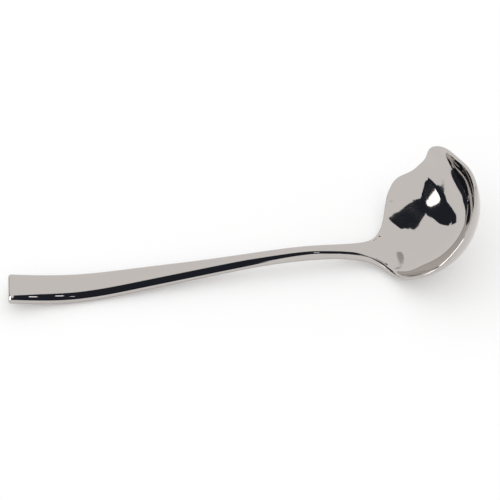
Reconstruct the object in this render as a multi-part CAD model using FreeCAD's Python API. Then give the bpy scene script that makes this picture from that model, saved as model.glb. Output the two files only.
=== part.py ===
"""Sauce spoon: one forged and polished piece.

A slim handle widens to a square end, arches over its neck and flows into a round bowl
that is tipped back towards the handle. The bowl has a pouring lip on its left side.
Lengths are millimetres and angles are degrees. The spoon lies on the table, with its
handle along -X, its bowl at +X and its lip at +Y.

The spoon is a sheet with a thickness. The sheet is a height over the plane of the
bowl's rim, and the handle is part of it. Two skins, left and right, are drawn over a
net of points that runs from the middle of the top, round the edge, to the middle of
the underside.
"""

import FreeCAD, Part
import math
import os

# Bowl, in its own frame: x to the front, y to the lip, z out of the bowl
BOWL_FRONT_RADIUS = 23.2
BOWL_SIDE_RADIUS = 25.5
BOWL_BACK_RADIUS = 26.5
BOWL_DEPTH = 14.0
BOWL_ROUNDNESS = 1.06
BOWL_WALL = 1.3
BOWL_EDGE_RADIUS = 0.75
BOWL_TILT = 46.0
BOWL_CENTRE_HEIGHT = 19.2

# Pouring lip: angles are from the bowl's front, powers set how square the lip and its tip are
LIP_ANGLE = 91.5
LIP_REACH = 9.0
LIP_SPREAD = 36.5
LIP_POWER = 2.7
LIP_DROP = 5.0
LIP_DROP_POWER = 8
LIP_TIP_SPREAD = 11.0
LIP_TIP_POWER = 2.5
LIP_TIP_BLUNTING = 2.5

# Handle's middle line: distance behind the bowl's centre, height over the table
HANDLE_END = (161.2, 6.2)
HANDLE_BELLY = (138.0, 2.4)
HANDLE_RISE = (112.0, 3.2)
HANDLE_MIDDLE = (84.0, 5.3)
HANDLE_ARCH = (56.0, 7.2)
HANDLE_NECK = (34.0, 6.0)
HANDLE_ROOT = (17.0, 2.6)

# Handle's width and thickness
HANDLE_END_WIDTH = 14.1
HANDLE_NECK_WIDTH = 6.8
TAPER_FROM = 148.0
TAPER_TO = 58.0
HANDLE_END_THICKNESS = 4.4
HANDLE_NECK_THICKNESS = 3.6
HANDLE_EDGE_RADIUS = 2.4
END_CORNER_RADIUS = 1.2
END_FACE_RADIUS = 0.7

# Root, where the handle meets the bowl: its wall thins over the last stretch
ROOT_FLARE_FROM = 38.0
ROOT_FLARE_RADIUS = 60.0
ROOT_FILLET = 4.0
ROOT_BLEND = 6.0
WALL_THINS_FROM = 34.0
WALL_THINS_TO = 14.0

# Net of points: edge roundness, steps across a skin and stations along it
EDGE_POWER = 2.2
FLAT_STEPS = 9
EDGE_STEPS = 12
END_STEPS = (0.0, 0.1, 0.3, 0.6, 1.0, 1.6, 2.4)
STATION_PITCH = 3.4
BOWL_STATIONS = 46
DEGREE = 3

# Rays in the bowl: share of the way round, start behind the centre, angle from the front
FAN = (
    (0.00, 36.0, 90.0),
    (0.14, 28.0, 100.0),
    (0.28, 20.0, 117.0),
    (0.42, 12.0, 115.0),
    (0.58, 5.0, 88.0),
    (0.79, 1.0, 45.0),
    (1.00, 0.0, 0.0),
)

# How the shape is worked out: sides, small step, search step and rounds of closing in
LEFT = 1.0
RIGHT = -1.0
SMALL = 0.001
SEARCH_STEP = 0.5
SEARCH_ROUNDS = 24
SLOPE_ROUNDS = 12
RIM_RUN_OUT = 1.0

tilt_cos = math.cos(math.radians(BOWL_TILT))
tilt_sin = math.sin(math.radians(BOWL_TILT))

# Profile of the bowl: its root at the rim, and its slope there for one whole radius
rim_root = math.sqrt(BOWL_ROUNDNESS**2 - 1.0)
profile_depth = BOWL_ROUNDNESS - rim_root
rim_slope = BOWL_DEPTH / rim_root / profile_depth

# Egg shape of the bowl: mean radius along the spoon, and how fast it leans to the back
egg_square = BOWL_FRONT_RADIUS**2 + BOWL_BACK_RADIUS**2
egg_radius = BOWL_FRONT_RADIUS * BOWL_BACK_RADIUS * (BOWL_FRONT_RADIUS + BOWL_BACK_RADIUS) / egg_square
egg_lean = (BOWL_BACK_RADIUS - BOWL_FRONT_RADIUS) / egg_square


class Curve:
    """A smooth curve y(x) through a few points, natural at both ends."""

    def __init__(self, points):
        points = sorted(points)
        self.x = [p[0] for p in points]
        self.y = [p[1] for p in points]
        self.bend = self.bends()

    def bends(self):
        """Second derivatives at the points, by elimination."""
        x, y = self.x, self.y
        last = len(x) - 1
        upper = [0.0] * (last + 1)
        bend = [0.0] * (last + 1)
        for i in range(1, last):
            before = x[i] - x[i - 1]
            after = x[i + 1] - x[i]
            turn = (y[i + 1] - y[i]) / after - (y[i] - y[i - 1]) / before
            pivot = 2.0 * (before + after) - before * upper[i - 1]
            upper[i] = after / pivot
            bend[i] = (6.0 * turn - before * bend[i - 1]) / pivot
        for i in range(last - 1, 0, -1):
            bend[i] -= upper[i] * bend[i + 1]
        return bend

    def at(self, x):
        """Height at x, going on straight past either end."""
        if x <= self.x[0]:
            return self.y[0] + self.slope(0, self.x[0]) * (x - self.x[0])
        if x >= self.x[-1]:
            return self.y[-1] + self.slope(len(self.x) - 2, self.x[-1]) * (x - self.x[-1])
        i = max(k for k in range(len(self.x) - 1) if self.x[k] <= x)
        wide = self.x[i + 1] - self.x[i]
        a = (self.x[i + 1] - x) / wide
        b = 1.0 - a
        sag = (a**3 - a) * self.bend[i] + (b**3 - b) * self.bend[i + 1]
        return a * self.y[i] + b * self.y[i + 1] + sag * wide**2 / 6.0

    def slope(self, i, x):
        """Slope at x in the stretch after point i."""
        wide = self.x[i + 1] - self.x[i]
        a = (self.x[i + 1] - x) / wide
        b = 1.0 - a
        rise = (self.y[i + 1] - self.y[i]) / wide
        turn = (3.0 * b**2 - 1.0) * self.bend[i + 1] - (3.0 * a**2 - 1.0) * self.bend[i]
        return rise + turn * wide / 6.0


def share(value, start, end):
    """How far value has come from start to end, from 0 to 1."""
    return min(max((value - start) / (end - start), 0.0), 1.0)


def eased(part):
    """A share from 0 to 1 that starts and ends gently."""
    return part * part * (3.0 - 2.0 * part)


def smooth_max(a, b, reach):
    """The larger of two heights, rounded where they are within reach of each other."""
    near = max(1.0 - abs(a - b) / reach, 0.0)
    return max(a, b) + reach * near**3 / 6.0


def smooth_min(a, b, reach):
    """The smaller of two heights, rounded where they are within reach of each other."""
    return -smooth_max(-a, -b, reach)


middle_line = Curve(
    (-back, height)
    for back, height in (
        HANDLE_END,
        HANDLE_BELLY,
        HANDLE_RISE,
        HANDLE_MIDDLE,
        HANDLE_ARCH,
        HANDLE_NECK,
        HANDLE_ROOT,
    )
)
ray_start = Curve((way, -back) for way, back, _ in FAN)
ray_angle = Curve((way, angle) for way, _, angle in FAN)


def to_table(x, y, z):
    """Turn a point of the bowl's frame into the frame of the table."""
    return FreeCAD.Vector(
        x * tilt_cos - z * tilt_sin,
        y,
        x * tilt_sin + z * tilt_cos + BOWL_CENTRE_HEIGHT,
    )


def bowl_x(table_x):
    """Where the handle's middle line over table_x lies along the bowl's own x."""
    return table_x * tilt_cos + (middle_line.at(table_x) - BOWL_CENTRE_HEIGHT) * tilt_sin


def handle_x(x):
    """The place along the table where the handle's middle line reaches the bowl's x."""
    table_x = x * tilt_cos
    for _ in range(SLOPE_ROUNDS):
        table_x += (x - bowl_x(table_x)) / tilt_cos
    return table_x


def bowl_reach(x, y):
    """How far a point lies out from the bowl's centre, 1 on a rim that has no lip."""
    return math.hypot(x * (1.0 + egg_lean * x) / egg_radius, y / BOWL_SIDE_RADIUS)


def lip_shape(x, y):
    """How far the lip draws the rim out in one direction, as a share, and how it drops."""
    off = math.remainder(math.degrees(math.atan2(y, x)) - LIP_ANGLE, 360.0)
    off = math.hypot(off, LIP_TIP_BLUNTING) - LIP_TIP_BLUNTING
    reach = LIP_REACH / BOWL_SIDE_RADIUS * math.exp(-((off / LIP_SPREAD) ** LIP_POWER))
    drop = LIP_DROP * math.exp(-((off / LIP_TIP_SPREAD) ** LIP_TIP_POWER))
    return reach, drop


def bowl_way(x, y):
    """Way out from the bowl's centre, 1 on its rim, with the lip fading inwards."""
    reach = bowl_reach(x, y)
    drawn, _ = lip_shape(x, y)
    way = min(reach, 1.0)
    for _ in range(SLOPE_ROUNDS):
        way -= (way + drawn * way**3 - reach) / (1.0 + 3.0 * drawn * way**2)
    return way


def bowl_height(x, y):
    """Height of the bowl's sheet over the plane of its rim, running out level outside it."""
    way = bowl_way(x, y)
    _, drop = lip_shape(x, y)
    inner = min(way, 1.0)
    hollow = BOWL_DEPTH * (math.sqrt(BOWL_ROUNDNESS**2 - inner**2) - rim_root) / profile_depth
    outside = rim_slope * (max(way, 1.0) - 1.0)
    run_out = RIM_RUN_OUT * (1.0 - math.exp(-outside / RIM_RUN_OUT))
    return run_out - hollow - drop * inner**LIP_DROP_POWER


def sheet_height(x, y):
    """Height of the whole sheet, bowl and handle, over the plane of the rim."""
    table_x = handle_x(x)
    drop = middle_line.at(table_x) - BOWL_CENTRE_HEIGHT
    handle = drop * tilt_cos - table_x * tilt_sin
    return smooth_max(bowl_height(x, y), handle, ROOT_BLEND)


def sheet_normal(x, y):
    """Unit normal of the sheet, out of the bowl."""
    slope_x = (sheet_height(x + SMALL, y) - sheet_height(x - SMALL, y)) / (2.0 * SMALL)
    slope_y = (sheet_height(x, y + SMALL) - sheet_height(x, y - SMALL)) / (2.0 * SMALL)
    return FreeCAD.Vector(-slope_x, -slope_y, 1.0).normalize()


def taper(table_x):
    """Share of the way from the wide end of the handle to its neck."""
    return eased(share(table_x, -TAPER_FROM, -TAPER_TO))


def handle_half_width(table_x):
    """Half the handle's width, with its taper and the flare of its root."""
    width = HANDLE_END_WIDTH + (HANDLE_NECK_WIDTH - HANDLE_END_WIDTH) * taper(table_x)
    flare = max(table_x + ROOT_FLARE_FROM, 0.0)
    return width / 2.0 + flare**2 / (2.0 * ROOT_FLARE_RADIUS)


def outline_gap(x, y):
    """Below 0 inside the spoon's outline in the plane of the rim, and above 0 outside."""
    drawn, _ = lip_shape(x, y)
    bowl = (bowl_reach(x, y) - 1.0 - drawn) * BOWL_SIDE_RADIUS
    handle = max(abs(y) - handle_half_width(handle_x(x)), x + WALL_THINS_TO)
    return smooth_min(bowl, handle, ROOT_FILLET)


def ray_length(start, c, s):
    """Distance from the middle to the outline along one ray."""
    far = SEARCH_STEP
    while outline_gap(start + c * far, s * far) < 0.0:
        far += SEARCH_STEP
    near = far - SEARCH_STEP
    for _ in range(SEARCH_ROUNDS):
        middle = (near + far) / 2.0
        if outline_gap(start + c * middle, s * middle) < 0.0:
            near = middle
        else:
            far = middle
    return near


def thinning(x):
    """Share of the way from the handle's section to the bowl's wall."""
    return eased(share(x, -WALL_THINS_FROM, -WALL_THINS_TO))


def half_thickness(x):
    """Half the metal's thickness, which thins from the handle into the bowl."""
    change = HANDLE_NECK_THICKNESS - HANDLE_END_THICKNESS
    handle = HANDLE_END_THICKNESS + change * taper(handle_x(x))
    return (handle + (BOWL_WALL - handle) * thinning(x)) / 2.0


def edge_radius(x):
    """How far in from the outline the edge starts to round."""
    return HANDLE_EDGE_RADIUS + (BOWL_EDGE_RADIUS - HANDLE_EDGE_RADIUS) * thinning(x)


def end_round(radius, way):
    """What a rounded end takes off a half size, way in from the end face."""
    inset = max(radius - way, 0.0)
    return radius - math.sqrt(radius**2 - inset**2)


def section(start, angle, side, way):
    """Points from the middle of the top, round the edge, to the middle of the underside."""
    c = math.cos(math.radians(angle))
    s = math.sin(math.radians(angle)) * side
    length = ray_length(start, c, s) - end_round(END_CORNER_RADIUS, way)
    edge = start + c * length, s * length
    inside = start + c * (length - SMALL), s * (length - SMALL)
    slope = (sheet_height(*edge) - sheet_height(*inside)) / SMALL
    rounding = min(edge_radius(edge[0]) / math.hypot(1.0, slope), length)
    flat = length - rounding
    power = 2.0 / EDGE_POWER
    across = [(flat * i / FLAT_STEPS, 1.0) for i in range(FLAT_STEPS)]
    for i in range(EDGE_STEPS + 1):
        turn = math.pi * i / EDGE_STEPS
        depth = math.copysign(abs(math.cos(turn)) ** power, math.cos(turn))
        across.append((flat + rounding * math.sin(turn) ** power, depth))
    across += [(reach, -1.0) for reach, _ in reversed(across[:FLAT_STEPS])]
    points = []
    for reach, depth in across:
        x = start + c * reach
        y = s * reach
        normal = sheet_normal(x, y)
        lift = (half_thickness(x) - end_round(END_FACE_RADIUS, way)) * depth
        z = sheet_height(x, y)
        points.append(to_table(x + normal.x * lift, y + normal.y * lift, z + normal.z * lift))
    return points


def stations():
    """Start, angle and distance from the end face of each ray, from the end to the front."""
    end = -HANDLE_END[0]
    root = handle_x(-FAN[0][1])
    found = [(bowl_x(end + way), FAN[0][2], way) for way in END_STEPS]
    first = end + END_STEPS[-1]
    count = math.ceil((root - first) / STATION_PITCH)
    for i in range(1, count):
        table_x = first + (root - first) * i / count
        found.append((bowl_x(table_x), FAN[0][2], table_x - end))
    for i in range(BOWL_STATIONS + 1):
        way = i / BOWL_STATIONS
        found.append((ray_start.at(way), ray_angle.at(way), -end))
    return found


def even_knots(count):
    """Knots and multiplicities of an even curve that ends on its end poles."""
    knots = [float(i) for i in range(count - DEGREE + 1)]
    multiplicities = [1] * len(knots)
    multiplicities[0] = multiplicities[-1] = DEGREE + 1
    return knots, multiplicities


def skin(side):
    """One half of the spoon's surface."""
    poles = [section(start, angle, side, way) for start, angle, way in stations()]
    u_knots, u_multiplicities = even_knots(len(poles))
    v_knots, v_multiplicities = even_knots(len(poles[0]))
    surface = Part.BSplineSurface()
    surface.buildFromPolesMultsKnots(
        poles,
        u_multiplicities,
        v_multiplicities,
        u_knots,
        v_knots,
        False,
        False,
        DEGREE,
        DEGREE,
    )
    return surface


def end_face(skins):
    """The flat face at the handle's end, between the first sections of the two skins."""
    edges = [surface.uIso(surface.bounds()[0]).toShape() for surface in skins]
    return Part.Face(Part.Wire(edges))


def sauce_spoon():
    """The whole spoon as one solid, with its origin under the middle of its box."""
    skins = [skin(LEFT), skin(RIGHT)]
    faces = [surface.toShape() for surface in skins]
    shell = Part.makeShell(faces + [end_face(skins)])
    shell.sewShape()
    solid = Part.makeSolid(shell)
    if solid.Volume < 0.0:
        solid.reverse()
    box = solid.optimalBoundingBox(False, False)
    solid.translate(FreeCAD.Vector(-box.Center.x, -box.Center.y, -box.ZMin))
    return solid


def main():
    os.makedirs("parts", exist_ok=True)
    spoon = sauce_spoon()
    box = spoon.optimalBoundingBox(False, False)
    print(f"sauce_spoon {box.XLength:.1f} x {box.YLength:.1f} x {box.ZLength:.1f} mm")
    print(f"valid {spoon.isValid()}, volume {spoon.Volume / 1000.0:.2f} cm3")
    spoon.exportStep("parts/sauce_spoon.step")


main()
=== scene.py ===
"""Sauce spoon of mirror-polished steel, lying on a pale table in a white tent.

The spoon is one sheet with a thickness. Its rule is written once, in Bowl and Handle, with
operators that take plain numbers, arrays or node sockets: a flat net of the outline is made
from numbers, and a geometry node tree lifts that net into the bowl and the handle. Lengths
are metres and angles are degrees, unless a name says otherwise.
"""

from __future__ import annotations

import logging
import math
from dataclasses import dataclass, field, fields
from enum import Enum
from typing import Any, Callable, Union

import bmesh
import bpy
import numpy as np
from mathutils import Matrix, Vector


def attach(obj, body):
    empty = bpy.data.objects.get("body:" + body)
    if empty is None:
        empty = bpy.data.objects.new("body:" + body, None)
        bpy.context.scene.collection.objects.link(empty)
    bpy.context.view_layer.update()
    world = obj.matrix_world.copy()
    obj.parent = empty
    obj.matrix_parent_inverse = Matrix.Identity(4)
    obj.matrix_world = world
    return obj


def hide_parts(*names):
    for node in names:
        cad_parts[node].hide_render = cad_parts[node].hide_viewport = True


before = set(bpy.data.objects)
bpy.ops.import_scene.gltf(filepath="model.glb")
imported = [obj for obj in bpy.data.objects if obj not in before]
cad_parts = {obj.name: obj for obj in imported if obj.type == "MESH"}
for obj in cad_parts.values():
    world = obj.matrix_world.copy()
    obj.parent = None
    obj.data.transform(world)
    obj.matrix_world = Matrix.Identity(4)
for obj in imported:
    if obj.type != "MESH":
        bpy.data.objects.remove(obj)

log = logging.getLogger("sauce_spoon")

NODE = "sauce_spoon"
BODY = "root"
MM = 0.001


class Value:
    """One value socket of a node tree, with arithmetic that adds Math nodes."""

    def __init__(self, graph: Graph, socket: bpy.types.NodeSocket) -> None:
        """Keep the socket and the graph that it belongs to."""
        self.graph = graph
        self.socket = socket

    def __add__(self, other: Quantity) -> Value:
        """Sum of two values."""
        return self.graph.math("ADD", self, other)

    def __sub__(self, other: Quantity) -> Value:
        """Difference of two values."""
        return self.graph.math("SUBTRACT", self, other)

    def __rsub__(self, other: Quantity) -> Value:
        """Difference, with a plain number first."""
        return self.graph.math("SUBTRACT", other, self)

    def __mul__(self, other: Quantity) -> Value:
        """Product of two values."""
        return self.graph.math("MULTIPLY", self, other)

    def __truediv__(self, other: Quantity) -> Value:
        """Quotient of two values."""
        return self.graph.math("DIVIDE", self, other)

    def __rtruediv__(self, other: Quantity) -> Value:
        """Quotient, with a plain number first."""
        return self.graph.math("DIVIDE", other, self)

    def __neg__(self) -> Value:
        """The value with its sign turned."""
        return self.graph.math("MULTIPLY", self, -1.0)

    __radd__ = __add__
    __rmul__ = __mul__


Quantity = Union[float, np.ndarray, Value]


class Graph:
    """A node tree that is built by expressions and by one method for any other node."""

    def __init__(self, tree: bpy.types.NodeTree) -> None:
        """Keep the tree."""
        self.tree = tree

    def node(
        self, kind: str, settings: dict[str, Any] | None = None, values: dict[Any, Any] | None = None
    ) -> bpy.types.Node:
        """Add a node.

        Args:
            kind: the node's type.
            settings: its properties, set first.
            values: numbers, vectors, Values or output sockets, by input name or index.

        Returns:
            The new node.
        """
        made = self.tree.nodes.new(kind)
        for name, setting in (settings or {}).items():
            setattr(made, name, setting)
        for key, given in (values or {}).items():
            self.feed(made.inputs[key], given)
        return made

    def feed(self, socket: bpy.types.NodeSocket, given: Any) -> None:
        """Give one input socket its number or its link."""
        source = given.socket if isinstance(given, Value) else given
        if isinstance(source, bpy.types.NodeSocket):
            self.tree.links.new(source, socket)
        else:
            socket.default_value = source

    def math(self, operation: str, *values: Quantity) -> Value:
        """Add one Math node.

        Args:
            operation: the node's operation.
            values: its inputs, in order.

        Returns:
            The node's result.
        """
        made = self.node("ShaderNodeMath", {"operation": operation}, dict(enumerate(values)))
        return Value(self, made.outputs[0])

    def parts(self, vector: bpy.types.NodeSocket) -> tuple[Value, Value, Value]:
        """The three values of a vector."""
        made = self.node("ShaderNodeSeparateXYZ", values={0: vector})
        x, y, z = (Value(self, output) for output in made.outputs)
        return x, y, z

    def vector(self, x: Quantity, y: Quantity, z: Quantity) -> bpy.types.NodeSocket:
        """A vector made from three values."""
        return self.node("ShaderNodeCombineXYZ", values={0: x, 1: y, 2: z}).outputs[0]


def worked(operation: str, function: Callable, *values: Quantity) -> Quantity:
    """Work out a function on numbers and arrays, or add its Math node.

    Args:
        operation: the Math node's operation.
        function: the same function for numbers and arrays.
        values: what it is worked out on.

    Returns:
        A number or array, or the node's result where any value is a node's.
    """
    for value in values:
        if isinstance(value, Value):
            return value.graph.math(operation, *values)
    return function(*values)


def root_of(a: Quantity) -> Quantity:
    """Square root."""
    return worked("SQRT", np.sqrt, a)


def power(a: Quantity, b: Quantity) -> Quantity:
    """The first value to the power of the second."""
    return worked("POWER", np.power, a, b)


def grown(a: Quantity) -> Quantity:
    """The exponential function."""
    return worked("EXPONENT", np.exp, a)


def least(a: Quantity, b: Quantity) -> Quantity:
    """The smaller of two values."""
    return worked("MINIMUM", np.minimum, a, b)


def most(a: Quantity, b: Quantity) -> Quantity:
    """The larger of two values."""
    return worked("MAXIMUM", np.maximum, a, b)


def size_of(a: Quantity) -> Quantity:
    """A value without its sign."""
    return worked("ABSOLUTE", np.abs, a)


def angle_of(y: Quantity, x: Quantity) -> Quantity:
    """Direction of a point in degrees, from +X towards +Y."""
    return worked("DEGREES", np.degrees, worked("ARCTAN2", np.arctan2, y, x))


def floor_of(a: Quantity) -> Quantity:
    """The whole number below a value."""
    return worked("FLOOR", np.floor, a)


def length_of(a: Quantity, b: Quantity) -> Quantity:
    """Length of a vector of two values."""
    return root_of(a * a + b * b)


def smooth_max(a: Quantity, b: Quantity, reach: Quantity) -> Quantity:
    """The larger of two values, rounded where they are within reach of each other."""
    near = most(1.0 - size_of(a - b) / reach, 0.0)
    return most(a, b) + reach * near * near * near / 6.0


def smooth_min(a: Quantity, b: Quantity, reach: Quantity) -> Quantity:
    """The smaller of two values, rounded where they are within reach of each other."""
    return -smooth_max(-a, -b, reach)


def eased(value: np.ndarray, start: float, end: float) -> np.ndarray:
    """How far a value has come from start to end, from 0 to 1, gently at both ends."""
    part = np.clip((value - start) / (end - start), 0.0, 1.0)
    return part * part * (3.0 - 2.0 * part)


@dataclass
class Bowl:
    """The round bowl and its pouring lip, as a height over the plane of the rim.

    Its frame has its origin at the middle of the rim, x to the front, y to the lip and z out
    of the bowl. The fields hold numbers, or the inputs of a node tree.
    """

    front_radius: Quantity = 23.2 * MM
    side_radius: Quantity = 25.5 * MM
    back_radius: Quantity = 26.5 * MM
    depth: Quantity = 14.0 * MM
    roundness: Quantity = 1.06
    lip_angle: Quantity = 91.5
    lip_reach: Quantity = 9.0 * MM
    lip_spread: Quantity = 36.5
    lip_power: Quantity = 2.7
    lip_drop: Quantity = 5.0 * MM
    lip_drop_power: Quantity = 8.0
    tip_spread: Quantity = 11.0
    tip_power: Quantity = 2.5
    tip_blunting: Quantity = 2.5
    run_out: Quantity = 1.0 * MM
    root_blend: Quantity = 6.0 * MM

    ROUNDS = 6

    def reach(self, x: Quantity, y: Quantity) -> Quantity:
        """How far a point lies out from the middle, 1 on a rim that has no lip."""
        front, back = self.front_radius, self.back_radius
        squares = front * front + back * back
        mean = front * back * (front + back) / squares
        lean = (back - front) / squares
        return length_of(x * (1.0 + lean * x) / mean, y / self.side_radius)

    def lip(self, x: Quantity, y: Quantity) -> tuple[Quantity, Quantity]:
        """How far the lip draws the rim out in a point's direction, as a share, and its drop."""
        off = angle_of(y, x) - self.lip_angle
        off = off - 360.0 * floor_of(off / 360.0 + 0.5)
        off = most(length_of(off, self.tip_blunting) - self.tip_blunting, 0.0)
        drawn = self.lip_reach / self.side_radius * grown(-power(off / self.lip_spread, self.lip_power))
        drop = self.lip_drop * grown(-power(off / self.tip_spread, self.tip_power))
        return drawn, drop

    def height(self, x: Quantity, y: Quantity, line: Quantity) -> Quantity:
        """Height of the sheet over the plane of the rim.

        Args:
            x: place towards the front.
            y: place towards the lip.
            line: height of the handle's middle line at x.

        Returns:
            The bowl's height, blended with the handle's and running out level outside the rim.
        """
        reach = self.reach(x, y)
        drawn, drop = self.lip(x, y)
        way = least(reach, 1.0)
        for _ in range(self.ROUNDS):
            way = way - (way + drawn * way * way * way - reach) / (1.0 + 3.0 * drawn * way * way)
        inner = least(way, 1.0)
        rim_root = root_of(self.roundness * self.roundness - 1.0)
        share = self.depth / (self.roundness - rim_root)
        hollow = share * (root_of(self.roundness * self.roundness - inner * inner) - rim_root)
        outside = share / rim_root * (most(way, 1.0) - 1.0)
        level = self.run_out * (1.0 - grown(-outside / self.run_out))
        return smooth_max(level - hollow - drop * power(inner, self.lip_drop_power), line, self.root_blend)


@dataclass
class Handle:
    """The handle's middle line, width and thickness, along the table behind the bowl."""

    line: tuple[tuple[float, float], ...] = (
        (161.2 * MM, 6.2 * MM),
        (138.0 * MM, 2.4 * MM),
        (112.0 * MM, 3.2 * MM),
        (84.0 * MM, 5.3 * MM),
        (56.0 * MM, 7.2 * MM),
        (34.0 * MM, 6.0 * MM),
        (17.0 * MM, 2.6 * MM),
    )
    end_width: float = 14.1 * MM
    neck_width: float = 6.8 * MM
    taper_from: float = 148.0 * MM
    taper_to: float = 58.0 * MM
    end_thickness: float = 4.4 * MM
    neck_thickness: float = 3.6 * MM
    edge_radius: float = 2.4 * MM
    end_corner_radius: float = 1.2 * MM
    end_face_radius: float = 0.7 * MM
    flare_from: float = 38.0 * MM
    flare_radius: float = 60.0 * MM
    fillet: float = 4.0 * MM
    bowl_wall: float = 1.3 * MM
    bowl_edge_radius: float = 0.75 * MM
    thins_from: float = 34.0 * MM
    thins_to: float = 14.0 * MM
    tilt: float = 46.0
    bowl_height: float = 19.2 * MM

    ROUNDS = 12

    def __post_init__(self) -> None:
        """Work out the bends of the middle line, a natural cubic through its points."""
        points = np.array(sorted((-back, height) for back, height in self.line))
        self.x, self.z = points[:, 0], points[:, 1]
        wide = np.diff(self.x)
        rise = np.diff(self.z) / wide
        count = len(self.x)
        sums = np.eye(count)
        turns = np.zeros(count)
        for i in range(1, count - 1):
            sums[i, i - 1 : i + 2] = wide[i - 1], 2.0 * (wide[i - 1] + wide[i]), wide[i]
            turns[i] = 6.0 * (rise[i] - rise[i - 1])
        self.bend = np.linalg.solve(sums, turns)
        self.cos = math.cos(math.radians(self.tilt))
        self.sin = math.sin(math.radians(self.tilt))

    def span(self, table_x: np.ndarray) -> tuple[np.ndarray, np.ndarray, np.ndarray]:
        """Which stretch of the middle line a place is in, its length, and the share passed."""
        i = np.clip(np.searchsorted(self.x, table_x) - 1, 0, len(self.x) - 2)
        wide = self.x[i + 1] - self.x[i]
        return i, wide, (table_x - self.x[i]) / wide

    def height(self, table_x: np.ndarray) -> np.ndarray:
        """Height of the middle line over the table, going on straight past its ends."""
        inside = np.clip(table_x, self.x[0], self.x[-1])
        i, wide, b = self.span(inside)
        a = 1.0 - b
        sag = (a**3 - a) * self.bend[i] + (b**3 - b) * self.bend[i + 1]
        level = a * self.z[i] + b * self.z[i + 1] + sag * wide**2 / 6.0
        return level + self.slope(inside) * (table_x - inside)

    def slope(self, table_x: np.ndarray) -> np.ndarray:
        """Slope of the middle line over the table."""
        i, wide, b = self.span(np.clip(table_x, self.x[0], self.x[-1]))
        a = 1.0 - b
        rise = (self.z[i + 1] - self.z[i]) / wide
        turn = (3.0 * b**2 - 1.0) * self.bend[i + 1] - (3.0 * a**2 - 1.0) * self.bend[i]
        return rise + turn * wide / 6.0

    def bowl_x(self, table_x: np.ndarray) -> np.ndarray:
        """Where the middle line over a place on the table lies along the bowl's own x."""
        return table_x * self.cos + (self.height(table_x) - self.bowl_height) * self.sin

    def table_x(self, x: np.ndarray) -> np.ndarray:
        """The place along the table where the middle line reaches the bowl's x."""
        found = x * self.cos
        for _ in range(self.ROUNDS):
            found = found + (x - self.bowl_x(found)) / (self.cos + self.slope(found) * self.sin)
        return found

    def lie(self, x: np.ndarray) -> tuple[np.ndarray, np.ndarray]:
        """Height and slope of the middle line over the plane of the rim, at the bowl's x."""
        place = self.table_x(x)
        slope = self.slope(place)
        height = (self.height(place) - self.bowl_height) * self.cos - place * self.sin
        return height, (slope * self.cos - self.sin) / (self.cos + slope * self.sin)

    def half_width(self, table_x: np.ndarray) -> np.ndarray:
        """Half the handle's width, with its taper and the flare of its root."""
        change = self.neck_width - self.end_width
        width = self.end_width + change * eased(table_x, -self.taper_from, -self.taper_to)
        flare = np.maximum(table_x + self.flare_from, 0.0)
        return width / 2.0 + flare**2 / (2.0 * self.flare_radius)

    def thinning(self, x: np.ndarray) -> np.ndarray:
        """Share of the way from the handle's section to the bowl's wall."""
        return eased(x, -self.thins_from, -self.thins_to)

    def half_thickness(self, x: np.ndarray) -> np.ndarray:
        """Half the metal's thickness, which thins from the handle into the bowl."""
        change = self.neck_thickness - self.end_thickness
        thick = self.end_thickness + change * eased(self.table_x(x), -self.taper_from, -self.taper_to)
        return (thick + (self.bowl_wall - thick) * self.thinning(x)) / 2.0

    def rounding(self, x: np.ndarray) -> np.ndarray:
        """How far in from the outline the edge starts to round."""
        return self.edge_radius + (self.bowl_edge_radius - self.edge_radius) * self.thinning(x)


def end_round(radius: float, way: np.ndarray) -> np.ndarray:
    """What a rounded end takes off a half size, way in from the end face."""
    inset = np.maximum(radius - way, 0.0)
    return radius - np.sqrt(radius**2 - inset**2)


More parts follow.
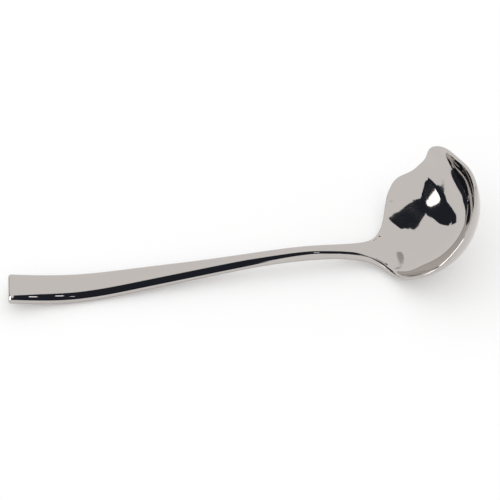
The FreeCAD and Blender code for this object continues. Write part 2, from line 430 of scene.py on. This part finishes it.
@dataclass
class Net:
    """A flat net over the spoon's outline, folded round its edge, ready to be lifted.

    Each point has a place in the plane of the rim, a lift off the sheet (half the metal's
    thickness, above or below), and an inset that draws it in from the outline along the sheet.
    """

    bowl: Bowl
    handle: Handle
    quarter: int = 64
    rings: int = 30
    root_columns: int = 14
    row_pitch: float = 0.55 * MM
    end_steps: tuple[float, ...] = (
        0.0, 0.04 * MM, 0.12 * MM, 0.25 * MM, 0.42 * MM, 0.65 * MM, 0.9 * MM, 1.2 * MM,
    )
    edge_steps: int = 14
    edge_power: float = 2.2
    patch_size: float = 11.0 * MM
    patch_roundness: float = 0.6
    row_fade: float = 14.0 * MM
    farthest: float = 42.0 * MM
    widest: float = 20.0 * MM
    clearance: float = 0.08 * MM

    ROUNDS = 40
    SMALL = 1e-6

    def gap(self, x: np.ndarray, y: np.ndarray) -> np.ndarray:
        """Below 0 inside the spoon's outline in the plane of the rim, and above 0 outside."""
        drawn, _ = self.bowl.lip(x, y)
        round_part = (self.bowl.reach(x, y) - 1.0 - drawn) * self.bowl.side_radius
        beside = np.abs(y) - self.handle.half_width(self.handle.table_x(x))
        strip = np.maximum(beside, x + self.handle.thins_to)
        return smooth_min(round_part, strip, self.handle.fillet)

    def outline(self, x: np.ndarray, c: np.ndarray, s: np.ndarray, far: float) -> np.ndarray:
        """Places on the outline, found along rays.

        Args:
            x: where each ray starts on the middle line.
            c: each ray's direction along x.
            s: each ray's direction along y.
            far: a distance that is outside on every ray.

        Returns:
            One row of x and y for each ray.
        """
        low = np.zeros_like(c)
        high = np.full_like(c, far)
        for _ in range(self.ROUNDS):
            middle = (low + high) / 2.0
            inside = self.gap(x + c * middle, s * middle) < -self.clearance
            low = np.where(inside, middle, low)
            high = np.where(inside, high, middle)
        return np.stack([x + c * low, s * low], -1)

    def inward(self, place: np.ndarray) -> np.ndarray:
        """Unit vectors from the outline into the spoon."""
        x, y = place[..., 0], place[..., 1]
        across = self.gap(x + self.SMALL, y) - self.gap(x - self.SMALL, y)
        along = self.gap(x, y + self.SMALL) - self.gap(x, y - self.SMALL)
        way = -np.stack([across, along], -1)
        return way / np.linalg.norm(way, axis=-1, keepdims=True)

    def bowl_edge(self) -> tuple[np.ndarray, np.ndarray]:
        """The round part's boundary, anticlockwise from the back.

        Returns:
            Places, and insets there. Behind, the boundary is an arc across the root, and its
            insets are shares of those at the two sides.
        """
        count = 4 * self.quarter
        back = self.root_columns
        turn = np.radians(180.0 + 360.0 * np.arange(count) / count)
        place = self.outline(np.zeros(count), np.cos(turn), np.sin(turn), self.farthest)
        inset = self.inward(place) * self.handle.rounding(place[:, :1])
        step = np.arange(-back, back + 1)
        side = step[:, None] / back
        radius = np.linalg.norm(place[[-back, back]], axis=1)
        across = (radius[0] * (1.0 - side) + radius[1] * (1.0 + side)) / 2.0
        ends = np.where(side < 0.0, inset[-back], inset[back])
        place[step] = across * np.stack([np.cos(turn[step]), np.sin(turn[step])], -1)
        inset[step] = ends * np.abs(side)
        return place, inset

    def points(self, place: np.ndarray, inset: np.ndarray, lift: np.ndarray) -> np.ndarray:
        """Put places, insets and lifts together as points of the net."""
        return np.concatenate([place, lift[..., None], inset], -1)

    def patch(self) -> np.ndarray:
        """The middle of the bowl, a grid with rounded sides."""
        share = np.tan(np.radians(45.0) * np.linspace(-1.0, 1.0, self.quarter + 1))
        a, b = np.meshgrid(share, share, indexing="ij")
        x = a * np.sqrt(1.0 - self.patch_roundness * b**2 / 2.0)
        y = b * np.sqrt(1.0 - self.patch_roundness * a**2 / 2.0)
        return self.patch_size * np.stack([x, y], -1)

    def patch_edge(self, patch: np.ndarray) -> np.ndarray:
        """The patch's own boundary, anticlockwise from the middle of its back side."""
        half = self.quarter // 2
        start, end = patch[0, half:0:-1], patch[0, :half:-1]
        return np.concatenate([start, patch[:-1, 0], patch[-1, :-1], patch[:0:-1, -1], end])

    def rows(self) -> tuple[np.ndarray, np.ndarray]:
        """Rows of the handle after the root's arc, as bowl x and distance from the end face."""
        end = self.handle.x[0]
        edge, _ = self.bowl_edge()
        start = self.handle.table_x(edge[self.root_columns, 0])
        first = end + self.end_steps[-1]
        count = math.ceil((start - first) / self.row_pitch)
        body = start + (first - start) * np.arange(1, count) / count
        table_x = np.concatenate([body, end + np.array(self.end_steps[::-1])])
        return self.handle.bowl_x(table_x), table_x - end

    def strips(self) -> list[np.ndarray]:
        """All the net's pieces, as grids of points.

        Returns:
            Grids of x, y, lift and the two parts of the inset. They meet point on point.
        """
        edge, edge_inset = self.bowl_edge()
        back = self.root_columns
        patch = self.patch()
        share = np.linspace(0.0, 1.0, self.rings + 1)[:, None, None]
        ring = (1.0 - share) * self.patch_edge(patch) + share * edge
        ring_inset = share**2 * edge_inset
        ring, ring_inset = (np.concatenate([a, a[:, :1]], 1) for a in (ring, ring_inset))

        x, way = self.rows()
        cut = end_round(self.handle.end_corner_radius, way)
        across = np.linspace(-1.0, 1.0, 2 * back + 1)[:, None]
        sides = []
        for side, turn in ((1.0, -back), (-1.0, back)):
            place = self.outline(x, np.zeros_like(x), np.full_like(x, side), self.widest)
            inset = self.inward(place) * self.handle.rounding(place[:, :1])
            place[:, 1] -= side * cut
            joined = np.concatenate([edge[[turn]], place])
            sides.append((joined, np.concatenate([edge_inset[[turn]], inset])))
        (left, left_inset), (right, right_inset) = sides
        chord = (left[:, None] * (1.0 - across) + right[:, None] * (1.0 + across)) / 2.0
        bend = edge[np.arange(-back, back + 1)] - chord[0]
        fade = 1.0 - eased(left[0, 0] - left[:, 0], 0.0, self.row_fade)
        row = chord + fade[:, None, None] * bend
        row_inset = np.where(across < 0.0, left_inset[:, None], right_inset[:, None]) * np.abs(across)
        face = np.concatenate([[0.0], end_round(self.handle.end_face_radius, way)])

        tops = [
            self.points(patch, np.zeros_like(patch), self.handle.half_thickness(patch[..., 0])),
            self.points(ring, ring_inset, self.handle.half_thickness(ring[..., 0])),
            self.points(row, row_inset, self.handle.half_thickness(row[..., 0]) - face[:, None]),
        ]
        under = [top * np.array([1.0, 1.0, -1.0, 1.0, 1.0]) for top in tops]

        front = slice(back + 1, len(edge) - back)
        rim, rim_inset = (
            np.concatenate([a[:0:-1], b[[-back]], b[front][::-1], b[[back]], c[1:]])
            for a, b, c in ((left, edge, right), (left_inset, edge_inset, right_inset))
        )
        rim_face = np.concatenate([face[:0:-1], np.zeros(len(rim) - 2 * len(x)), face[1:]])
        turn = np.linspace(0.0, np.pi, self.edge_steps + 1)
        out = np.clip(np.sin(turn), 0.0, 1.0) ** (2.0 / self.edge_power)
        deep = np.sign(np.cos(turn)) * np.abs(np.cos(turn)) ** (2.0 / self.edge_power)
        place = np.repeat(rim[:, None], len(turn), 1)
        thick = self.handle.half_thickness(rim[:, 0]) - rim_face
        fold = self.points(place, rim_inset[:, None] * (1.0 - out)[:, None], thick[:, None] * deep)

        half = self.edge_steps // 2
        upper = np.concatenate([fold[0, half:0:-1], tops[2][-1], fold[-1, 1 : half + 1]])
        lower = np.concatenate([fold[0, half:-1], under[2][-1], fold[-1, -2 : half - 1 : -1]])
        return tops + under + [fold, np.stack([upper, lower])]

    def mesh(self) -> bpy.types.Mesh:
        """The net as a mesh of quads, with its insets and the handle's line as attributes."""
        places, quads, start = [], [], 0
        for grid in self.strips():
            rows, columns = grid.shape[:2]
            index = start + np.arange(rows * columns).reshape(rows, columns)
            corners = (index[:-1, :-1], index[1:, :-1], index[1:, 1:], index[:-1, 1:])
            quads.append(np.stack(corners, -1).reshape(-1, 4))
            places.append(grid.reshape(-1, grid.shape[-1]))
            start += rows * columns
        points = np.concatenate(places)
        mesh = bpy.data.meshes.new("sauce_spoon_net")
        mesh.from_pydata(points[:, :3], [], np.concatenate(quads))
        line, slope = self.handle.lie(points[:, 0])
        inset = np.concatenate([points[:, 3:], np.zeros((len(points), 1))], 1)
        for name, kind, entry, numbers in (
            (Lift.INSET, "FLOAT_VECTOR", "vector", inset.ravel()),
            (Lift.LINE, "FLOAT", "value", line),
            (Lift.LINE_SLOPE, "FLOAT", "value", slope),
        ):
            mesh.attributes.new(name.value, kind, "POINT").data.foreach_set(entry, numbers)
        return mesh


class Lift(Enum):
    """Names of the net's attributes, which the node tree reads."""

    INSET = "inset"
    LINE = "handle_line"
    LINE_SLOPE = "handle_line_slope"


@dataclass
class SheetTree:
    """The geometry nodes that lift the flat net into the spoon."""

    bowl: Bowl
    tilt: float
    steel: bpy.types.Material
    step: float = 0.1 * MM
    merge_distance: float = 0.0001 * MM

    def socket_name(self, size: str) -> str:
        """The name that a size has as an input."""
        return size.replace("_", " ").capitalize()

    def add_input(self, tree: bpy.types.NodeTree, name: str, kind: str = "NodeSocketFloat") -> str:
        """Add an input to a tree.

        Args:
            tree: the tree.
            name: the input's name.
            kind: the input's type.

        Returns:
            The input's identifier.
        """
        return tree.interface.new_socket(name=name, in_out="INPUT", socket_type=kind).identifier

    def height_group(self) -> bpy.types.NodeTree:
        """The rule for the height of the sheet, as a group of its own."""
        tree = bpy.data.node_groups.new("sheet height", "GeometryNodeTree")
        sizes = [size.name for size in fields(Bowl)]
        for name in ("X", "Y", "Line", *map(self.socket_name, sizes)):
            self.add_input(tree, name)
        tree.interface.new_socket(name="Height", in_out="OUTPUT", socket_type="NodeSocketFloat")
        graph = Graph(tree)
        given = graph.node("NodeGroupInput").outputs
        bowl = Bowl(**{size: Value(graph, given[self.socket_name(size)]) for size in sizes})
        x, y, line = (Value(graph, given[name]) for name in ("X", "Y", "Line"))
        graph.node("NodeGroupOutput", values={"Height": bowl.height(x, y, line)})
        return tree

    def build(self) -> tuple[bpy.types.NodeTree, dict[str, Any]]:
        """Build the whole tree.

        Returns:
            The tree, and the value of each input by its identifier.
        """
        tree = bpy.data.node_groups.new("sauce spoon sheet", "GeometryNodeTree")
        self.add_input(tree, "Geometry", "NodeSocketGeometry")
        tree.interface.new_socket(name="Geometry", in_out="OUTPUT", socket_type="NodeSocketGeometry")
        inputs = {}
        for size in fields(Bowl):
            inputs[self.add_input(tree, self.socket_name(size.name))] = getattr(self.bowl, size.name)
        inputs[self.add_input(tree, "Tilt")] = math.radians(self.tilt)
        inputs[self.add_input(tree, "Steel", "NodeSocketMaterial")] = self.steel

        graph = Graph(tree)
        given = graph.node("NodeGroupInput").outputs
        rule = self.height_group()
        sizes = {self.socket_name(size.name): given[self.socket_name(size.name)] for size in fields(Bowl)}
        step = self.step

        def height(x: Value, y: Value, line: Value) -> Value:
            """Height of the sheet at one place."""
            values = {"X": x, "Y": y, "Line": line, **sizes}
            made = graph.node("GeometryNodeGroup", {"node_tree": rule}, values)
            return Value(graph, made.outputs["Height"])

        def slopes(x: Value, y: Value, line: Value, line_slope: Value) -> tuple[Value, Value]:
            """Slopes of the sheet along x and along y."""
            ahead = height(x + step, y, line + line_slope * step)
            behind = height(x - step, y, line - line_slope * step)
            beside = height(x, y + step, line) - height(x, y - step, line)
            return (ahead - behind) / (2.0 * step), beside / (2.0 * step)

        def attribute(name: Lift, kind: str) -> bpy.types.NodeSocket:
            """One attribute of the net."""
            made = graph.node("GeometryNodeInputNamedAttribute", {"data_type": kind}, {"Name": name.value})
            return made.outputs["Attribute"]

        x, y, lift = graph.parts(graph.node("GeometryNodeInputPosition").outputs[0])
        inset_x, inset_y, _ = graph.parts(attribute(Lift.INSET, "FLOAT_VECTOR"))
        line = Value(graph, attribute(Lift.LINE, "FLOAT"))
        line_slope = Value(graph, attribute(Lift.LINE_SLOPE, "FLOAT"))

        slope_x, slope_y = slopes(x, y, line, line_slope)
        length = most(length_of(inset_x, inset_y), self.merge_distance)
        steep = (slope_x * inset_x + slope_y * inset_y) / length
        flat = 1.0 / length_of(steep, 1.0)
        x = x + inset_x * flat
        y = y + inset_y * flat
        line = line + line_slope * inset_x * flat
        slope_x, slope_y = slopes(x, y, line, line_slope)
        off = lift / length_of(length_of(slope_x, slope_y), 1.0)
        x_out = x - slope_x * off
        y_out = y - slope_y * off
        z_out = height(x, y, line) + off
        tilt = Value(graph, given["Tilt"])
        c, s = graph.math("COSINE", tilt), graph.math("SINE", tilt)
        lifted = graph.vector(x_out * c - z_out * s, y_out, x_out * s + z_out * c)

        closed = graph.node(
            "GeometryNodeMergeByDistance",
            values={"Geometry": given["Geometry"], "Distance": self.merge_distance},
        )
        placed = graph.node(
            "GeometryNodeSetPosition", values={"Geometry": closed.outputs[0], "Position": lifted}
        )
        box = graph.node("GeometryNodeBoundBox", values={"Geometry": placed.outputs[0]})
        low_x, low_y, low_z = graph.parts(box.outputs["Min"])
        high_x, high_y, _ = graph.parts(box.outputs["Max"])
        seat = graph.vector((low_x + high_x) / -2.0, (low_y + high_y) / -2.0, -low_z)
        seated = graph.node(
            "GeometryNodeTransform", values={"Geometry": placed.outputs[0], "Translation": seat}
        )
        smooth = graph.node("GeometryNodeSetShadeSmooth", values={"Geometry": seated.outputs[0]})
        real = graph.node("GeometryNodeRealizeInstances", values={"Geometry": smooth.outputs[0]})
        dressed = graph.node(
            "GeometryNodeSetMaterial", values={"Geometry": real.outputs[0], "Material": given["Steel"]}
        )
        graph.node("NodeGroupOutput", values={"Geometry": dressed.outputs[0]})
        return tree, inputs


@dataclass(frozen=True)
class MirrorSteel:
    """Mirror-polished stainless steel, with faint wipe marks, hairlines and a slight waviness."""

    colour: tuple[float, float, float, float] = (0.530, 0.498, 0.476, 1.0)
    smudged_colour: tuple[float, float, float, float] = (0.515, 0.482, 0.460, 1.0)
    roughness: float = 0.020
    smudge_roughness: float = 0.035
    smudge_scale: float = 38.0
    smudge_detail: float = 4.0
    hairline_scale: float = 900.0
    hairline_detail: float = 2.0
    hairline_squeeze: tuple[float, float, float] = (0.08, 1.0, 1.0)
    hairline_depth: float = 0.0016
    wave_scale: float = 60.0
    wave_detail: float = 1.0
    wave_depth: float = 0.0012
    grain: float = 0.55

    def make(self) -> bpy.types.Material:
        """Build the material.

        Returns:
            The material, for the whole spoon.
        """
        material = bpy.data.materials.new("mirror_steel")
        material.use_nodes = True
        graph = Graph(material.node_tree)
        place = graph.node("ShaderNodeTexCoord").outputs["Object"]

        smudge = self.noise(graph, place, self.smudge_scale, self.smudge_detail)
        drawn_out = graph.node(
            "ShaderNodeMapping", values={"Vector": place, "Scale": self.hairline_squeeze}
        ).outputs["Vector"]
        hairline = self.noise(graph, drawn_out, self.hairline_scale, self.hairline_detail)
        wave = self.noise(graph, place, self.wave_scale, self.wave_detail)

        colour = graph.node(
            "ShaderNodeMix",
            {"data_type": "RGBA"},
            {"Factor": smudge, 6: self.colour, 7: self.smudged_colour},
        ).outputs[2]
        wavy = self.bump(graph, wave, self.wave_depth, None)
        scratched = self.bump(graph, hairline, self.hairline_depth, wavy)
        shader = material.node_tree.nodes["Principled BSDF"]
        graph.feed(shader.inputs["Base Color"], colour)
        graph.feed(shader.inputs["Metallic"], 1.0)
        graph.feed(shader.inputs["Roughness"], smudge * self.smudge_roughness + self.roughness)
        graph.feed(shader.inputs["Normal"], scratched)
        return material

    def noise(self, graph: Graph, place: bpy.types.NodeSocket, scale: float, detail: float) -> Value:
        """A noise between 0 and 1 at some scale."""
        values = {"Vector": place, "Scale": scale, "Detail": detail, "Roughness": self.grain}
        return Value(graph, graph.node("ShaderNodeTexNoise", values=values).outputs[0])

    def bump(
        self, graph: Graph, height: Value, depth: float, under: bpy.types.NodeSocket | None
    ) -> bpy.types.NodeSocket:
        """A very shallow relief, on top of another one where there is one."""
        values = {"Height": height, "Strength": depth, "Distance": MM}
        if under is not None:
            values["Normal"] = under
        return graph.node("ShaderNodeBump", values=values).outputs["Normal"]


@dataclass
class SauceSpoon:
    """The spoon itself, one piece of steel from the end of its handle to its pouring lip."""

    steel: MirrorSteel = field(default_factory=MirrorSteel)
    bowl: Bowl = field(default_factory=Bowl)
    handle: Handle = field(default_factory=Handle)

    def build(self) -> bpy.types.Object:
        """Lift the net with the node tree and keep the result as a plain mesh."""
        net = Net(self.bowl, self.handle).mesh()
        spoon = bpy.data.objects.new("sauce_spoon_polished", net)
        bpy.context.scene.collection.objects.link(spoon)
        tree, inputs = SheetTree(self.bowl, self.handle.tilt, self.steel.make()).build()
        modifier = spoon.modifiers.new("sheet", "NODES")
        modifier.node_group = tree
        for identifier, value in inputs.items():
            modifier[identifier] = value
        lifted = spoon.evaluated_get(bpy.context.evaluated_depsgraph_get())
        spoon_mesh = bpy.data.meshes.new_from_object(lifted)
        spoon.modifiers.remove(modifier)
        spoon.data = spoon_mesh
        bpy.data.meshes.remove(net)
        self.turn_faces_out(spoon_mesh)
        return spoon

    def turn_faces_out(self, mesh: bpy.types.Mesh) -> None:
        """Point every face of the closed skin outwards."""
        work = bmesh.new()
        work.from_mesh(mesh)
        bmesh.ops.recalc_face_normals(work, faces=work.faces[:])
        work.to_mesh(mesh)
        work.free()


class Tone(Enum):
    """What a card of the studio shows, as the light that leaves it."""

    DARK = (0.022, 0.026, 0.036, 1.0)
    WHITE = (1.0, 1.0, 1.0, 1.0)
    LAMP = (2.4, 2.4, 2.4, 1.0)
    BRIGHT_LAMP = (5.0, 5.0, 5.0, 1.0)

    def material(self) -> bpy.types.Material:
        """Build the plain material of this tone."""
        material = bpy.data.materials.new("card_" + self.name.lower())
        material.use_nodes = True
        material.node_tree.nodes.clear()
        graph = Graph(material.node_tree)
        light = graph.node("ShaderNodeEmission", values={"Color": self.value}).outputs[0]
        graph.node("ShaderNodeOutputMaterial", values={"Surface": light})
        return material


@dataclass(frozen=True)
class Card:
    """One flat card or lamp of the studio, which nothing but the polished steel shows.

    Its lengths are in millimetres. A card with no reach lies level at its height, and its
    outline is in x and y. A card with a reach stands upright at that distance from its foot, a
    place in the bowl, and its outline is in sideways and upward steps.
    """

    name: str
    tone: Tone
    outline: tuple[tuple[float, float], ...]
    height: float = 0.0
    reach: float = 0.0
    facing: float = -113.0
    foot: tuple[float, float, float] = (70.0, 5.0, 8.0)

    def corner(self, first: float, second: float) -> Vector:
        """One corner of the card."""
        if self.reach == 0.0:
            return Vector((first, second, self.height)) * MM
        turn = math.radians(self.facing)
        away = Vector((math.sin(turn), -math.cos(turn), 0.0))
        side = Vector((math.cos(turn), math.sin(turn), 0.0))
        return (Vector(self.foot) + away * self.reach + side * first + Vector((0.0, 0.0, second))) * MM

    def make(self, material: bpy.types.Material) -> bpy.types.Object:
        """Build the card.

        Args:
            material: the material of its tone.

        Returns:
            The card, hidden from the camera, from shadows and from the table.
        """
        mesh = bpy.data.meshes.new(self.name)
        mesh.from_pydata([self.corner(*place) for place in self.outline], [], [range(len(self.outline))])
        mesh.materials.append(material)
        card = bpy.data.objects.new(self.name, mesh)
        bpy.context.scene.collection.objects.link(card)
        for kind in ("camera", "diffuse", "transmission", "volume_scatter", "shadow"):
            setattr(card, "visible_" + kind, False)
        return card


# Heights of level cards over the table, in millimetres
HANDLE_CARD_HEIGHT = 36.0
SLOT_HEIGHT = 35.9


@dataclass(frozen=True)
class CardSet:
    """The cards around the spoon, placed for what its bowl and its handle show.

    A slot is a small lamp just under the card over the handle, and looks like a hole in it.
    """

    cards: tuple[Card, ...] = (
        Card(
            "card_over_handle", Tone.DARK, height=HANDLE_CARD_HEIGHT,
            outline=(
                (-80, -5), (-77, 2), (-73, 10), (-70, 17), (-66, 21), (-60, 22.5), (-50, 22.5), (-35, 22),
                (-20, 21), (-8, 19), (4, 16), (14, 16), (25, 19), (32, 19), (40, 13), (46, 10), (52, 11),
                (58, 15), (61, 12), (58, -6), (52, -16), (46, -20), (40, -15), (34, -8), (30, -9),
                (22, -14), (15, -22), (0, -50), (-40, -300), (-80, -300),
            ),
        ),
        Card(
            "card_over_neck", Tone.DARK, height=60.0,
            outline=(
                (-66, 46), (-62, 45.2), (-27.7, 36), (-3, 30.2), (9, 26.5), (14, 24.2), (20, 24),
                (18, 27), (10, 31.5), (-2, 40), (-15, 46),
            ),
        ),
        Card(
            "card_over_bowl", Tone.DARK, height=90.0,
            outline=(
                (-14, 23), (2, 18.8), (20, 18.4), (38, 21), (57, 24.5), (74, 26.5), (97, 31),
                (75, 36), (60, 30), (42, 28.2), (20, 33.8), (5, 34), (-14, 33.2),
            ),
        ),
        Card(
            "card_behind_handle", Tone.DARK, reach=401.0,
            outline=(
                (-115, 42), (-60, 38), (0, 70), (40, 95), (62, 78), (80, 5), (240, 5), (300, 190),
                (240, 320), (150, 430), (105, 430), (65, 405), (45, 345), (-40, 230), (-90, 130),
            ),
        ),
        Card(
            "dark_card_beside_bowl", Tone.DARK, height=7.0,
            outline=((43, 28.2), (52, 28.1), (66, 27.4), (68, 20), (61, 19.6), (54, 22.2), (47.3, 25.3)),
        ),
        Card(
            "strip_lamp", Tone.LAMP, reach=400.0,
            outline=(
                (69, 143), (63, 151), (60, 170), (62, 216), (67, 274), (76, 311), (90, 340), (100, 340),
                (84, 254), (78, 150),
            ),
        ),
        Card(
            "white_card_beside_neck", Tone.WHITE, reach=30.0,
            outline=(
                (-32, 4), (-15, 4), (-15, 12), (-8, 12.5), (-8, 14), (-11, 15), (-15.5, 17), (-14, 17.7),
                (-12, 20.5), (-10, 26), (-7, 31), (-8, 40), (-32, 40),
            ),
        ),
        Card(
            "white_card_over_bowl", Tone.WHITE, height=36.0,
            outline=(
                (46.6, 19.8), (48, 18.1), (51.6, 17.8), (67, 19.2), (74, 19.6), (77, 24), (74, 31),
                (66, 33), (52, 32), (48, 25.5),
            ),
        ),
        Card(
            "rim_lamp", Tone.BRIGHT_LAMP, reach=300.0, facing=-65.0,
            outline=((-90, 0), (60, 0), (60, 400), (-90, 400)),
        ),
        Card(
            "white_card_beside_root", Tone.WHITE, reach=34.0, facing=-65.0,
            outline=((0, -7), (18, -7), (18, 10), (0, 10)),
        ),
        Card(
            "card_under_camera", Tone.DARK, reach=300.0, facing=-27.0,
            outline=((-90, -5), (90, -5), (90, 250), (-60, 300), (-90, 200)),
        ),
        Card(
            "first_slot", Tone.LAMP, height=SLOT_HEIGHT,
            outline=((-74.5, -11.5), (-72, -10.5), (-72, -17), (-74.5, -18)),
        ),
        Card(
            "second_slot", Tone.LAMP, height=SLOT_HEIGHT,
            outline=((-67, -2), (-65.2, -4), (-65.2, -10), (-67, -8)),
        ),
        Card(
            "third_slot", Tone.LAMP, height=SLOT_HEIGHT,
            outline=((-63.7, -18), (-62.7, -23), (-62.7, -26), (-63.7, -21)),
        ),
        Card(
            "fourth_slot", Tone.LAMP, height=SLOT_HEIGHT,
            outline=((32.5, 9), (35.4, 5.5), (35.4, 3), (32.5, 6.5)),
        ),
        Card(
            "fifth_slot", Tone.LAMP, height=SLOT_HEIGHT,
            outline=((56.4, 1.5), (57.6, -1), (57.6, -3), (56.4, -0.5)),
        ),
    )

    def make(self) -> list[bpy.types.Object]:
        """Build all cards, with one material for each tone."""
        materials = {tone: tone.material() for tone in Tone}
        return [card.make(materials[card.tone]) for card in self.cards]


@dataclass(frozen=True)
class Studio:
    """The pale table and the soft white tent around it."""

    table_size: float = 6.0
    table_colour: tuple[float, float, float, float] = (0.80, 0.80, 0.80, 1.0)
    table_roughness: float = 0.9
    table_lift: float = 0.21
    tent_colour: tuple[float, float, float, float] = (1.0, 1.0, 1.0, 1.0)

    def table(self) -> bpy.types.Object:
        """The plain pale table top, which is pure white where nothing shades it."""
        half = self.table_size / 2.0
        corners = [(x * half, y * half, 0.0) for x, y in ((-1, -1), (1, -1), (1, 1), (-1, 1))]
        mesh = bpy.data.meshes.new("table_top")
        mesh.from_pydata(corners, [], [(0, 1, 2, 3)])
        mesh.materials.append(self.table_material())
        table = bpy.data.objects.new("table_top", mesh)
        bpy.context.scene.collection.objects.link(table)
        return table

    def table_material(self) -> bpy.types.Material:
        """Matt white, with a little more light for the camera and for what the steel shows."""
        material = bpy.data.materials.new("pale_table")
        material.use_nodes = True
        graph = Graph(material.node_tree)
        path = graph.node("ShaderNodeLightPath").outputs
        seen = Value(graph, path["Is Camera Ray"]) + Value(graph, path["Is Glossy Ray"])
        seen = seen + Value(graph, path["Is Transmission Ray"])
        shader = material.node_tree.nodes["Principled BSDF"]
        graph.feed(shader.inputs["Base Color"], self.table_colour)
        graph.feed(shader.inputs["Roughness"], self.table_roughness)
        graph.feed(shader.inputs["Specular IOR Level"], 0.0)
        lift = graph.node("ShaderNodeEmission", values={"Strength": seen * self.table_lift}).outputs[0]
        both = graph.node("ShaderNodeAddShader", values={0: shader.outputs[0], 1: lift}).outputs[0]
        graph.feed(material.node_tree.nodes["Material Output"].inputs["Surface"], both)
        return material

    def tent(self) -> None:
        """An even white surround, the only light that falls on the table."""
        world = bpy.data.worlds.new("tent")
        world.use_nodes = True
        world.node_tree.nodes["Background"].inputs["Color"].default_value = self.tent_colour
        bpy.context.scene.world = world


@dataclass
class PhotographCamera:
    """The camera, placed where the photograph was taken from."""

    target: tuple[float, float, float] = (2.925 * MM, -4.366 * MM, 12.288 * MM)
    distance: float = 620.0 * MM
    azimuth: float = 4.054
    elevation: float = 43.994
    roll: float = -3.616
    sensor: float = 36.0
    focal_pixels: float = 1634.65
    picture_pixels: float = 500.0
    nearest: float = 10.0 * MM

    def place(self) -> bpy.types.Object:
        """Make the camera and aim it."""
        a, e, t = (math.radians(angle) for angle in (self.azimuth, self.elevation, self.roll))
        back = Vector((-math.sin(a) * math.cos(e), -math.cos(a) * math.cos(e), math.sin(e)))
        right = (-back).cross(Vector((0.0, 0.0, 1.0))).normalized()
        up = right.cross(-back)
        turned_right = right * math.cos(t) + up * math.sin(t)
        turned_up = up * math.cos(t) - right * math.sin(t)
        lens = bpy.data.cameras.new("camera")
        lens.sensor_width = self.sensor
        lens.lens = self.focal_pixels * self.sensor / self.picture_pixels
        lens.clip_start = self.nearest
        camera = bpy.data.objects.new("camera", lens)
        bpy.context.scene.collection.objects.link(camera)
        turn = Matrix((turned_right, turned_up, back)).transposed().to_4x4()
        camera.matrix_world = Matrix.Translation(Vector(self.target) + back * self.distance) @ turn
        bpy.context.scene.camera = camera
        return camera


def main() -> None:
    """Build the spoon and its setting, and put the spoon on its body."""
    logging.basicConfig(level=logging.INFO, format="%(name)s: %(message)s")
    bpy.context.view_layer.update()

    spoon = SauceSpoon().build()
    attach(spoon, BODY)
    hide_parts(NODE)
    log.info("sauce spoon: %d points, %d faces", len(spoon.data.vertices), len(spoon.data.polygons))

    studio = Studio()
    studio.table()
    studio.tent()
    cards = CardSet().make()
    log.info("table and tent: %d cards around the spoon", len(cards))

    PhotographCamera().place()
    bpy.context.scene.view_settings.view_transform = "Standard"
    log.info("camera is in place")


if __name__ == "__main__":
    main()
